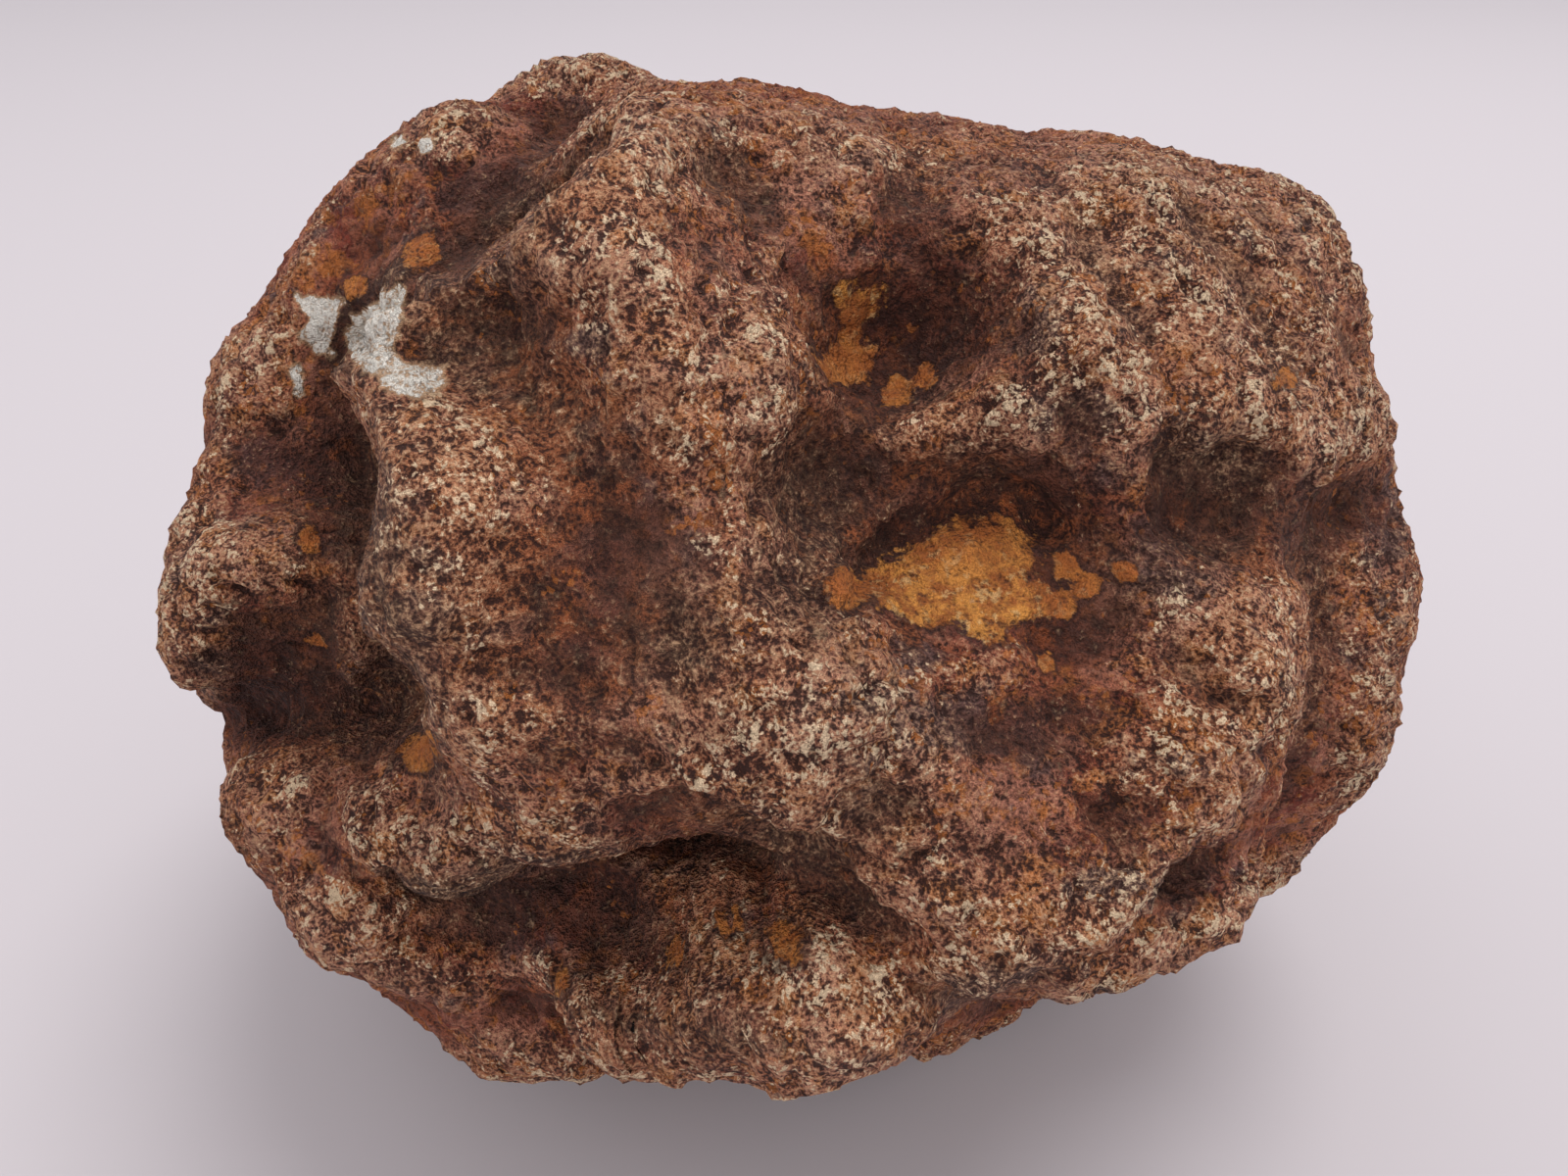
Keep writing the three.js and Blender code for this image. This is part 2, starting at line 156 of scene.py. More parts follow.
def normals(places):
    """Outward normals at the corners, from the diagonals of the squares round them."""
    a, b, c, d = (places[squares[:, i]] for i in range(4))
    across = np.cross(c - a, d - b)
    total = np.zeros_like(places)
    for i in range(4):
        for axis in range(3):
            total[:, axis] += np.bincount(squares[:, i], across[:, axis], len(places))
    return total / np.linalg.norm(total, axis=1, keepdims=True)


RELAXING = 4  # passes that even out the squares
EASE = 0.7  # how far towards its neighbours' mean a pass moves each corner
for _ in range(RELAXING):
    eased = (1 - EASE) * skin + EASE * average(skin)
    skin = np.array([base_tree.find_nearest(Vector(place))[0] for place in eased])
print("skin:", len(skin), "corners,", 2 * len(squares), "triangles")

# %% [markdown]
# A ledge is a step in the ground that fades out on both sides. It is described the way a mason would
# point it out: a line along its edge, its height, and how wide the step is. Walking along the line, the
# high ground is on the left. A dent or a crown is a soft spot with two half sizes, a groove is a line
# with a soft half width, and a swell is a broad spot where the stone is fuller than the solid. All of
# them push corners along their own normals, so one list of strokes shapes the skin as a sculptor's tools
# would.

# %% Strokes that shape the skin
WOBBLE = 0.9  # how far, in mm, a stroke strays from its drawn line
WOBBLE_LENGTH = 7.0  # mm over which it strays to one side and back
WOBBLE_SEED = 3
RAISED_SHARE = 0.3  # of a ledge's height that lifts the high side; the rest sinks the low side

noise.seed_set(WOBBLE_SEED)  # or the clock would shift the noise a little in every run
wobble = WOBBLE * np.array([noise.noise_vector(Vector(place / WOBBLE_LENGTH)) for place in skin])


def along_line(line, u, v):
    """Pixels to a line, the hand that it passes on, and pixels from its nearer end."""
    gap = np.full(len(u), 1e9)
    hand = np.zeros(len(u))
    walked = np.zeros(len(u))
    total = 0
    for (ax, ay), (bx, by) in zip(line, line[1:]):
        dx, dy = bx - ax, by - ay
        length = math.hypot(dx, dy)
        t = np.clip(((u - ax) * dx + (v - ay) * dy) / length**2, 0, 1)
        here = np.hypot(u - ax - t * dx, v - ay - t * dy)
        nearer = here < gap
        gap = np.where(nearer, here, gap)
        hand = np.where(nearer, np.sign(dy * (u - ax) - dx * (v - ay)), hand)
        walked = np.where(nearer, total + t * length, walked)
        total += length
    return gap, hand, np.minimum(walked, total - walked)


def ledge(line, height, wall=1.2, reach=9.0):
    """A step along a line, in mm: up on the line's left and down on its right, gone beyond its reach."""
    gap, hand, from_end = along_line(line, u, v)
    away = gap * span
    fade = np.clip(1 - away / reach, 0, 1) ** 2 * np.clip(from_end * span / reach, 0, 1)
    share = np.where(hand > 0, RAISED_SHARE, RAISED_SHARE - 1)
    return height * share * np.clip(away / wall, 0, 1) * fade * front


def streak(line, half):
    """1 along a line, falling softly to 0 over a half width in mm."""
    gap, _, from_end = along_line(line, u, v)
    ends = np.clip(from_end * span / (2 * half), 0, 1)
    return np.exp(-((gap * span / half) ** 2)) * ends * front


def spot(at, across, down=None, turn=0):
    """1 in the middle of an ellipse (half sizes in mm), falling softly to 0."""
    down = down or across
    x, y = (u - at[0]) * span, (v - at[1]) * span
    c, s = math.cos(math.radians(turn)), math.sin(math.radians(turn))
    return np.exp(-(((x * c + y * s) / across) ** 2) - ((y * c - x * s) / down) ** 2) * front


CHEEK_EDGE = [(350, 330), (346, 377), (372, 430), (367, 462), (374, 525), (380, 570), (396, 616), (420, 656),
              (440, 700), (436, 730), (455, 765), (500, 795)]
BROW_RIM = [
    (760, 112), (700, 112), (639, 130), (606, 150), (588, 161), (560, 185), (539, 204), (522, 230),
    (487, 241), (448, 263), (413, 279), (388, 286), (372, 300), (352, 328), (345, 350), (343, 400),
]
NOSE_EDGE = [(612, 829), (650, 826), (702, 816), (729, 820), (751, 834), (791, 852), (827, 856), (858, 866),
             (880, 896), (925, 932), (1000, 950)]
LOWER_CRACK = [(365, 865), (391, 883), (407, 896), (434, 908), (456, 910), (483, 912), (500, 895), (523, 880),
               (550, 879), (608, 879), (630, 892), (670, 892)]
RIGHT_EDGE = [
    (1000, 952), (1090, 945), (1158, 918), (1222, 871), (1257, 847), (1285, 819), (1305, 788), (1311, 748),
    (1317, 697), (1330, 653), (1330, 610), (1309, 570), (1315, 520),
]
UNDER_EDGE = [
    (315, 950), (349, 977), (389, 1008), (456, 1021), (479, 1021), (523, 997), (568, 1004), (595, 1030),
    (630, 1042), (670, 1030), (715, 1028), (755, 1042), (804, 1062), (836, 1071), (880, 1062), (916, 1039),
    (947, 1019), (1000, 1004), (1080, 985), (1160, 950),
]
KNOB_EDGE = [(350, 602), (329, 626), (332, 654), (346, 672), (367, 697), (388, 707), (417, 690)]
SMALL_KNOB_EDGE = [(376, 715), (370, 740), (378, 768), (403, 782)]
CREASE = [(325, 745), (322, 816), (318, 840), (308, 880)]
NOTCH = [(180, 728), (225, 735), (260, 730), (300, 735)]
EAR_EDGE = [(1345, 560), (1352, 530), (1368, 519), (1392, 475), (1430, 452)]
OCHRE_RIM = [(885, 600), (905, 560), (950, 530), (1000, 512), (1050, 522), (1085, 555)]
SHELF_EDGE = [(1215, 530), (1222, 480), (1250, 452), (1300, 455), (1320, 490)]
FLANGE = [(900, 1008), (960, 985), (1040, 980), (1100, 950), (1180, 905), (1250, 862)]
BRIDGE_SIDE = [(835, 470), (815, 510), (830, 560), (870, 610), (885, 660)]

# %% The strokes: edges, grooves, dents, crowns and swells
EDGES = [  # line, height, wall and reach in mm
    (CHEEK_EDGE, 8, 1.6, 10), (BROW_RIM, 7, 1.2, 9), (NOSE_EDGE, 5, 1.2, 8), (LOWER_CRACK, 7, 1.1, 7),
    (RIGHT_EDGE, 5, 1.3, 9), (UNDER_EDGE, 2.5, 1.1, 4), (KNOB_EDGE, 6, 1.2, 7), (SMALL_KNOB_EDGE, 5, 1.0, 5),
    (CREASE[::-1], 5, 1.1, 6), (EAR_EDGE, 5, 1.1, 6), (OCHRE_RIM, 3, 0.9, 4), (SHELF_EDGE, 3.5, 1.0, 6),
    (FLANGE, 4, 1.2, 7), (BRIDGE_SIDE, 4, 1.6, 8),
]
# A groove's darkness is painted shade, with some stain.
GROOVES = [  # line, half width and depth in mm, and how dark it is
    (NOTCH, 1.8, 2, 0.8), (OCHRE_RIM, 1.2, 2.2, 1.2),
    ([(430, 268), (413, 279), (388, 284), (368, 300), (353, 325), (346, 346), (341, 377)], 1.2, 5, 1.2),
    ([(385, 884), (407, 896), (434, 908), (483, 913), (523, 880)], 1.1, 4, 1.2),
    ([(640, 130), (606, 152), (540, 203), (487, 243), (430, 270)], 1.2, 2, 0.7),
    ([(612, 834), (702, 822), (751, 840), (791, 858), (870, 880)], 1.2, 2, 0.6),
    ([(372, 432), (367, 462), (372, 525), (378, 570), (394, 616), (418, 656), (436, 700)], 1.3, 2, 0.8),
    ([(1180, 640), (1235, 690), (1290, 745)], 1.5, 2, 0.3),
    ([(790, 560), (830, 625), (860, 690)], 0.9, 1.4, 0.4),
    ([(815, 560), (850, 620), (885, 690)], 0.9, 1.4, 0.4),
    ([(760, 560), (800, 625), (830, 680)], 0.9, 1.2, 0.4),
    ([(1100, 800), (1140, 850), (1150, 890)], 1.2, 1.8, 0.3), ([(1166, 915), (1245, 878)], 1.6, 2.5, 0.5),
    ([(900, 1012), (1000, 1000), (1080, 975)], 1.2, 2, 0.5),
    ([(1085, 210), (1140, 300), (1190, 360)], 1.6, 1.4, 0.2),
    ([(1190, 180), (1270, 290), (1330, 400)], 1.6, 1.4, 0.2),
    ([(1260, 200), (1340, 290), (1390, 380)], 1.4, 1.3, 0.2),
    ([(860, 560), (884, 578), (878, 612), (850, 622)], 0.8, 1.2, 0.8),
    ([(345, 605), (329, 626), (340, 668)], 1, 1.5, 0.9),
    ([(700, 160), (760, 180), (800, 240)], 1.5, 1.3, 0.4),
    ([(1035, 640), (1100, 650), (1170, 610)], 1.4, 1.3, 0.4),
    ([(640, 700), (560, 690), (470, 690)], 1.5, 1.2, 0.4),
    ([(560, 1010), (650, 1050), (800, 1072)], 1.2, 1.5, 0.7),
]
# The darkness of a dent's floor is painted shade, with some stain.
DENTS = [  # place, half sizes across and down, turn, depth, and how dark the floor of it is
    ((473, 322), 6.5, 5, 15, 5, 1.3), ((490, 187), 8, 4, 10, 3, 0.9), ((345, 490), 3, 6, 0, 2, 0.8),
    ((270, 455), 8, 3, 10, 2, 0.7), ((272, 648), 6, 3.5, -5, 2.5, 0.9), ((300, 725), 10, 4, 0, 2, 1.0),
    ((400, 705), 5, 3, 20, 1.5, 0.7), ((262, 880), 4, 4, 40, 2, 0.8), ((490, 945), 7, 3.5, 0, 2.5, 0.5),
    ((622, 957), 5, 4, 0, 3, 0.7), ((560, 905), 7, 2.5, 0, 2, 0.4), ((740, 866), 13, 3, 0, 1.5, 0.5),
    ((850, 908), 4, 2, 5, 3.5, 1.0), ((740, 1055), 10, 2, 8, 1, 0.9), ((1000, 1034), 11, 2, -18, 1, 0.9),
    ((420, 1003), 8, 1.6, 8, 1, 0.9), ((955, 335), 7, 6, 0, 3, 1.2), ((905, 345), 3.5, 4, 0, 2, 0.8),
    ((1045, 345), 3, 4, 0, 2, 0.7), ((940, 225), 5, 6, 0, 2.2, 0.7), ((1005, 290), 4, 5, 0, 1.5, 0.5),
    ((862, 510), 5.5, 7, -20, 3.5, 1.3), ((985, 490), 9, 2.5, 0, 2.5, 0.9),
    ((1050, 525), 6, 3.5, 20, 2.5, 0.9), ((1110, 590), 5, 5, 30, 2, 0.7), ((1105, 436), 3, 3, 0, 3, 1.0),
    ((1272, 500), 5, 5.5, 0, 3.5, 0.9), ((578, 432), 5, 4, -20, 2.2, 0.7), ((604, 515), 4, 4, 0, 2.2, 0.8),
    ((640, 470), 3, 5, 30, 1.5, 0.6), ((625, 630), 11, 7, 5, 2.5, 1.0), ((530, 620), 3, 3, 0, 1.5, 0.5),
    ((740, 250), 6, 4, 0, 1.4, 0.45), ((1168, 838), 4, 3.5, 0, 2.5, 0.7), ((890, 830), 4, 3.5, -30, 2.5, 0.9),
    ((1012, 742), 3, 2.5, 0, 2, 0.7), ((1345, 520), 3, 3, 0, 2.2, 0.8), ((1392, 510), 4, 3, 0, 1.6, 0.6),
    ((1070, 735), 5, 3, 0, 2, 0.6), ((640, 770), 3, 1.8, 20, 1.8, 0.8), ((560, 775), 3, 2, 0, 1.4, 0.7),
    ((880, 445), 3, 3.5, 0, 1.5, 0.6), ((1080, 640), 4, 4, 0, 1.4, 0.6), ((1420, 560), 3, 6, 0, 2, 0.6),
    ((700, 660), 2, 3, 0, 1.6, 0.8), ((465, 1060), 7, 2, 5, 0.5, 0.5), ((405, 160), 6, 5, 0, 1.2, 0.3),
    ((640, 545), 4, 1.8, 20, 1.6, 0.8), ((230, 830), 3, 5, 0, 1.4, 0.6), ((740, 165), 3, 2.5, 0, 1.5, 0.6),
    ((1195, 470), 3, 2, 30, 1.6, 0.6),
]
# A crown's pale top is painted highlight, with some wear.
CROWNS = [  # place, half sizes across and down, turn, height, and how pale its top is
    ((615, 75), 7, 4, 0, 1.0, 0.5), ((645, 160), 5, 2.2, -10, 1.2, 0.8), ((560, 215), 4, 2.5, -30, 1.4, 0.6),
    ((560, 262), 4, 2.5, 20, 1, 0.6), ((432, 500), 4, 13, 0, 1.8, 0.8), ((440, 600), 4, 5, -15, 1.2, 0.6),
    ((650, 390), 8, 5, 0, 1.2, 0.5), ((780, 340), 3, 7, -5, 1.5, 0.4), ((790, 450), 3, 8, -5, 1.8, 0.5),
    ((825, 570), 4, 7, -20, 1.5, 0.4), ((775, 665), 4, 4, 0, 1.8, 0.9), ((722, 690), 3, 4, 0, 1.5, 0.9),
    ((852, 760), 4.5, 4, 0, 1.8, 0.9), ((820, 830), 4, 2.5, 0, 1.4, 0.7), ((930, 775), 3, 3, 0, 1.2, 0.6),
    ((1150, 205), 7, 5, 20, 1.6, 0.8), ((1115, 245), 4, 4, 0, 1, 0.6), ((1178, 250), 3, 6, -10, 1.2, 0.7),
    ((1320, 310), 5, 9, -20, 1.4, 0.6), ((1262, 420), 5, 3.5, -20, 2, 1.0),
    ((1228, 452), 2.5, 2, 0, 1.5, 0.9), ((1400, 425), 3, 4, 0, 1.2, 0.8), ((1130, 340), 4, 5, 0, 1.3, 0.6),
    ((1275, 615), 6, 5, 20, 1.8, 0.6), ((1235, 665), 8, 2.2, 40, 1.8, 0.8),
    ((1280, 708), 4, 2.5, 20, 1.6, 0.8), ((1182, 775), 4, 3, 0, 1.6, 0.6), ((945, 855), 5, 4, 0, 1.6, 0.6),
    ((1012, 930), 5, 3, 0, 1.6, 0.6), ((1060, 965), 9, 2, -25, 2, 0.6), ((400, 935), 6, 4, 10, 2, 0.7),
    ((440, 770), 5, 4, 0, 1.2, 0.4), ((850, 975), 9, 3, 5, 1.8, 0.4), ((880, 1058), 5, 2, -20, 1.4, 0.5),
    ((690, 975), 5, 3, 0, 1.6, 0.4), ((270, 580), 6, 4, 0, 1.8, 0.4), ((200, 620), 3, 5, 0, 1.2, 0.4),
    ((378, 625), 4, 5, 10, 2.2, 0.4), ((960, 440), 3, 2.5, 0, 1.2, 0.8), ((1030, 430), 3, 3, 0, 1.4, 0.7),
    ((570, 850), 2, 1.8, 0, 1, 0.7), ((950, 160), 7, 3, 0, 1.2, 0.6), ((835, 150), 6, 3, 0, 1, 0.6),
    ((700, 440), 6, 2, 0, 1, 0.5), ((500, 480), 5, 6, 0, 1, 0.4), ((980, 575), 7, 4.5, 0, 3.5, 0.0),
    ((1050, 600), 3, 3, 0, 1.2, 0.0), ((1113, 596), 2.2, 2.2, 0, 1.8, 0.0), ((1150, 584), 2, 2, 0, 1.8, 0.0),
    ((290, 345), 5, 4, 0, 1.6, 0.3), ((520, 735), 7, 3, 0, 1, 0.4), ((860, 1000), 7, 2, 0, 1.2, 0.4),
    ((470, 860), 7, 3, 0, 1.5, 0.3), ((1120, 885), 5, 2, -30, 1.2, 0.4), ((330, 790), 3, 4, 0, 1.4, 0.3),
]

SWELLS = [  # where the stone is fuller than the solid: place, half sizes, turn, and how much fuller in mm
    ((625, 1062), 13, 6, 0, 7.5), ((480, 1052), 8, 6, 20, 1.5), ((735, 1062), 8, 5, 0, 2),
    ((850, 1085), 8, 5, 0, 0.8), ((960, 1040), 8, 5, -20, 2), ((1120, 990), 11, 5, -20, 3.5),
    ((1330, 890), 7, 9, 40, 3), ((1350, 225), 9, 9, 40, 2.5), ((1385, 760), 5, 9, 0, 1.5),
    ((200, 710), 4, 8, 0, 6), ((235, 830), 5, 7, 0, 1.5), ((520, 85), 9, 5, -10, 2.5),
    ((600, 70), 8, 6, 0, 1.2), ((250, 300), 6, 8, 30, -1.5), ((330, 960), 6, 6, 40, 2),
    ((700, 905), 17, 5, 5, 3), ((620, 620), 12, 9, 0, 2.5), ((590, 350), 8, 9, 0, 2.5),
    ((375, 650), 5, 6, 10, 3), ((1000, 320), 9, 8, 0, 1.5), ((470, 900), 8, 4, 0, 2),
]

SHARPENING = 0.5  # the solid has the great forms already, so edges, dents and crowns only sharpen them

u, v, span, front = seen(skin + wobble)
push = sum(ledge(*edge) for edge in EDGES)
for at, across, down, turn, depth, _ in DENTS:
    push = push - depth * spot(at, across, down, turn)
for at, across, down, turn, height, _ in CROWNS:
    push = push + height * spot(at, across, down, turn)
push = SHARPENING * push
for at, across, down, turn, height in SWELLS:
    push = push + height * spot(at, across, down, turn)
for line, half, depth, _ in GROOVES:
    push = push - depth * streak(line, half)
skin = skin + push[:, None] * normals(skin)
print("strokes: from", round(push.min(), 1), "to", round(push.max(), 1), "mm")

# %% [markdown]
# The colour follows the stone's history. Iron has stained nearly all of it brown, clay has stayed in the
# sheltered hollows as gold and orange ochre, manganese has blackened some of them, worn grains show cream
# on the proud parts, and the quartz inside shows white at the crack. On top of that, painted shade darkens
# the hollows, dents, grooves, pits and the ground that lies in shade, and painted highlight lightens the
# proud tops and the ground that faces the light. Each of these is a soft share from 0 to 1 at every corner,
# painted through the camera like the strokes. The material gives them their crisp, grainy edges.

# %% Where each finish lies
PAINT_WOBBLE = 0.6  # of the strokes' wobble
u, v, span, front = seen(skin + PAINT_WOBBLE * wobble)


def patch(outline, soft):
    """1 inside an outline of pixels, falling to 0 over soft millimetres either side of it."""
    closed = outline + outline[:1]
    gap, _, _ = along_line(closed, u, v)
    inside = np.zeros(len(u), bool)
    for (ax, ay), (bx, by) in zip(closed, closed[1:]):
        if ay != by:
            inside ^= ((ay > v) != (by > v)) & (u < ax + (v - ay) * (bx - ax) / (by - ay))
    signed = np.where(inside, gap, -gap) * span
    return np.clip(0.5 + 0.5 * signed / soft, 0, 1) * front


def together(shares):
    """Several shares as one: each covers part of what the others leave."""
    left = 1.0
    for share in shares:
        left = left * (1 - np.clip(share, 0, 1))
    return 1 - left


GOLD = [
    (895, 575), (935, 588), (1000, 590), (1060, 600), (1075, 625), (1050, 632), (1025, 640), (1022, 655),
    (1000, 657), (985, 632), (945, 640), (915, 620), (893, 598),
]
GOLD_DOME = [
    (905, 575), (930, 548), (975, 526), (1030, 522), (1060, 545), (1055, 590), (1000, 596), (940, 592),
]
UPPER_GOLD = [(838, 290), (905, 288), (900, 310), (868, 345), (852, 320)]
QUARTZ_LEFT = [(304, 304), (346, 305), (343, 328), (332, 339), (341, 356), (325, 363), (304, 346), (315, 328)]
QUARTZ_BANK = [(395, 284), (412, 296), (400, 335), (394, 366), (372, 376), (352, 358), (362, 322), (376, 298)]
QUARTZ_SHELF = [(384, 362), (415, 366), (455, 372), (452, 394), (425, 400), (388, 388)]
QUARTZ_THREAD = [(303, 372), (309, 374), (309, 404), (302, 400)]
QUARTZ_CRACK = [(430, 262), (392, 284), (368, 302), (355, 325), (348, 352), (342, 390)]
QUARTZ_CHIPS = [(405, 145), (432, 145)]
CHIP_SIZE = 0.8  # half size in mm


def hollowness(passes):
    """Millimetres that each corner lies under the level of the ground round it; less than 0 on crowns."""
    eased = skin
    for _ in range(passes):
        eased = average(eased)
    sunk = ((eased - skin) * normals(skin)).sum(axis=1)
    return sunk - np.median(sunk)


NEAR_PASSES = 30
WIDE_PASSES = 300
near = hollowness(NEAR_PASSES)
wide = hollowness(WIDE_PASSES)
print("hollows of 3 mm:", round(near.max(), 2), "deep; of 9 mm:", round(wide.max(), 2))

ORANGE_SPOTS = [  # place, and half size in mm
    ((424, 767), 2.2), ((1113, 596), 1.5), ((1150, 584), 1.4), ((1087, 576), 1.3), ((1083, 618), 1.4),
    ((864, 598), 1.8), ((1069, 671), 1.0), ((320, 548), 1.6), ((320, 655), 1.1), ((745, 940), 1.6),
    ((800, 960), 1.9), ((690, 975), 1.6), ((915, 397), 1.6), ((945, 380), 1.4), ((865, 367), 2.6),
    ((360, 290), 1.6), ((430, 258), 2.0), ((1312, 385), 1.2), ((570, 1003), 1.4),
]
RUST_SPOTS = [  # place, and half sizes across and down in mm
    ((360, 286), 2.6, 1.8), ((415, 260), 3.5, 1.6), ((980, 545), 9, 6), ((570, 1003), 4, 1.3),
    ((870, 330), 7, 8), ((590, 180), 5, 3), ((1020, 575), 13, 9), ((740, 910), 12, 4), ((535, 385), 4, 4),
    ((1090, 290), 6, 5), ((640, 430), 12, 5), ((560, 570), 12, 14), ((460, 560), 6, 16), ((1300, 640), 8, 10),
    ((880, 1010), 14, 5), ((640, 200), 6, 4),
]
SLATE_SPOTS = [  # place, and half sizes across and down in mm
    ((940, 690), 6, 6), ((1000, 740), 5, 4), ((985, 480), 8, 2), ((1050, 330), 3, 5), ((1100, 430), 4, 3),
    ((1255, 480), 5, 4), ((1415, 560), 4, 10), ((885, 828), 3, 4), ((560, 900), 9, 2.5), ((585, 352), 3, 2),
    ((600, 425), 5, 3), ((632, 508), 4, 4), ((1190, 530), 4, 7), ((1075, 560), 4, 3), ((310, 470), 8, 5),
    ((235, 680), 8, 6), ((400, 600), 4, 8), ((560, 950), 8, 3), ((1190, 900), 8, 2), ((460, 255), 6, 2),
    ((490, 190), 6, 3), ((1000, 1010), 10, 2), ((680, 590), 4, 3),
]
DOME_TOP = (995, 545)
ochre = together([patch(GOLD, 1.2), 0.8 * patch(GOLD_DOME, 2.0), 0.75 * patch(UPPER_GOLD, 1.5)]
                 + [spot(at, size) for at, size in ORANGE_SPOTS])
orange = together([spot(at, 1.5 * size) for at, size in ORANGE_SPOTS] + [0.8 * spot(DOME_TOP, 7, 4)])
rust = together([0.75 * spot(at, across, down) for at, across, down in RUST_SPOTS])
slate = together([0.8 * spot(at, across, down) for at, across, down in SLATE_SPOTS])
quartz = together([patch(QUARTZ_LEFT, 0.8), patch(QUARTZ_BANK, 0.8), patch(QUARTZ_SHELF, 0.9),
                   patch(QUARTZ_THREAD, 0.6)] + [spot(at, CHIP_SIZE) for at in QUARTZ_CHIPS])
# Painted shadow: the crack at the quartz's edge is darkened, and the quartz is cut back from it.
crack_shadow = np.clip(1.5 * streak(QUARTZ_CRACK, 1.0), 0, 1)
quartz = quartz * (1 - crack_shadow)

# Painted shade on ground that lies in shade: the left flank, the band under the nose and the deeper hollows.
SHADED_GROUND = [  # place, and half sizes across and down in mm
    ((300, 500), 9, 8), ((255, 690), 10, 6), ((400, 640), 5, 8), ((640, 915), 18, 5), ((1270, 520), 7, 8),
    ((1000, 495), 11, 4), ((630, 620), 11, 11), ((475, 322), 8, 6), ((850, 520), 6, 8), ((300, 720), 10, 6),
]
# The dark share is partly stain and partly painted shade: it grows with the depth of hollows of about 3 and 9
# mm, along the crack and the grooves, on the floors of dents and on the shaded ground.
stain_and_shade_parts = [crack_shadow, 0.45 * np.clip(wide / 3, 0, 1), 0.6 * np.clip(near / 0.6, 0, 1)]
for at, across, down, turn, _, dark in DENTS:
    stain_and_shade_parts.append(0.6 * dark * spot(at, 1.1 * across, 1.1 * down, turn))
for at, across, down in SHADED_GROUND:
    stain_and_shade_parts.append(0.5 * spot(at, across, down))
for line, half, _, dark in GROOVES:
    stain_and_shade_parts.append(dark * streak(line, 1.3 * half))
stain_and_shade = together(stain_and_shade_parts)

# Pale ground is partly wear and partly painted highlight: on crowns found from the skin, on the listed
# crowns' tops, and on the brow, nose and right side, which face the light.
LIT_AND_WORN_GROUND = [  # place, and half sizes across and down in mm
    ((800, 740), 12, 15), ((1170, 250), 14, 12), ((445, 530), 7, 17), ((1290, 300), 10, 14),
    ((700, 150), 9, 5), ((1390, 630), 7, 12), ((1290, 400), 9, 6), ((760, 700), 8, 8),
]
wear_and_highlight_parts = [0.5 * np.clip(-wide / 2.5, 0, 1), 0.6 * np.clip(-near / 0.4, 0, 1)]
for at, across, down, turn, _, pale in CROWNS:
    wear_and_highlight_parts.append(pale * spot(at, 1.6 * across, 1.6 * down, turn))
for at, across, down in LIT_AND_WORN_GROUND:
    wear_and_highlight_parts.append(0.55 * spot(at, across, down))
wear_and_highlight = together(wear_and_highlight_parts)

calm = together([0.8 * ochre, 0.4 * stain_and_shade, 0.5 * rust])  # smoother ground, where powder fills the grain
shares = {"ochre": ochre, "orange": orange, "rust": rust, "slate": slate, "quartz": quartz, "stain_and_shade": stain_and_shade,
          "wear_and_highlight": wear_and_highlight, "calm": calm}
for name, share in shares.items():
    print(f"{name}: {100 * np.mean(share):.1f} % of the skin")

# %% The skin becomes a mesh
body = bpy.data.meshes.new("geode_rind")
body.from_pydata(((skin + CORE_MIDDLE) * MM).tolist(), [], squares.tolist())
for name, share in shares.items():
    layer = body.attributes.new(name, "FLOAT", "POINT")
    layer.data.foreach_set("value", np.ascontiguousarray(share, np.float32))
geode = bpy.data.objects.new("geode_rind", body)
bpy.context.scene.collection.objects.link(geode)
body.shade_smooth()
print("mesh:", len(body.vertices), "corners with", len(shares), "shares each")

# %% One way to add any node


def add(tree, kind, inputs=None, **settings):
    """Adds a node, sets its properties, and gives its inputs values or links."""
    made = tree.nodes.new(kind)
    for name, value in settings.items():
        setattr(made, name, value)
    for name, value in (inputs or {}).items():
        socket = made.inputs[name]
        if isinstance(value, bpy.types.NodeSocket):
            tree.links.new(value, socket)
        else:
            socket.default_value = value
    return made


# %% [markdown]
# The rind is granular all over: rounded knobs of about 3 mm with grains of about 1 mm on them, cut by
# little fissures and pocked with pits where grains fell out. That follows a rule, so Geometry Nodes make
# it. Cells of a Voronoi texture are knobs, grains and pits, and some pits are deeper than others by each
# cell's own luck. The middle line of a noise is a fissure. All are bent by another noise, because no two
# grains on a stone are alike.

# %% Geometry Nodes for lumps, knobs, fissures, grains and pits


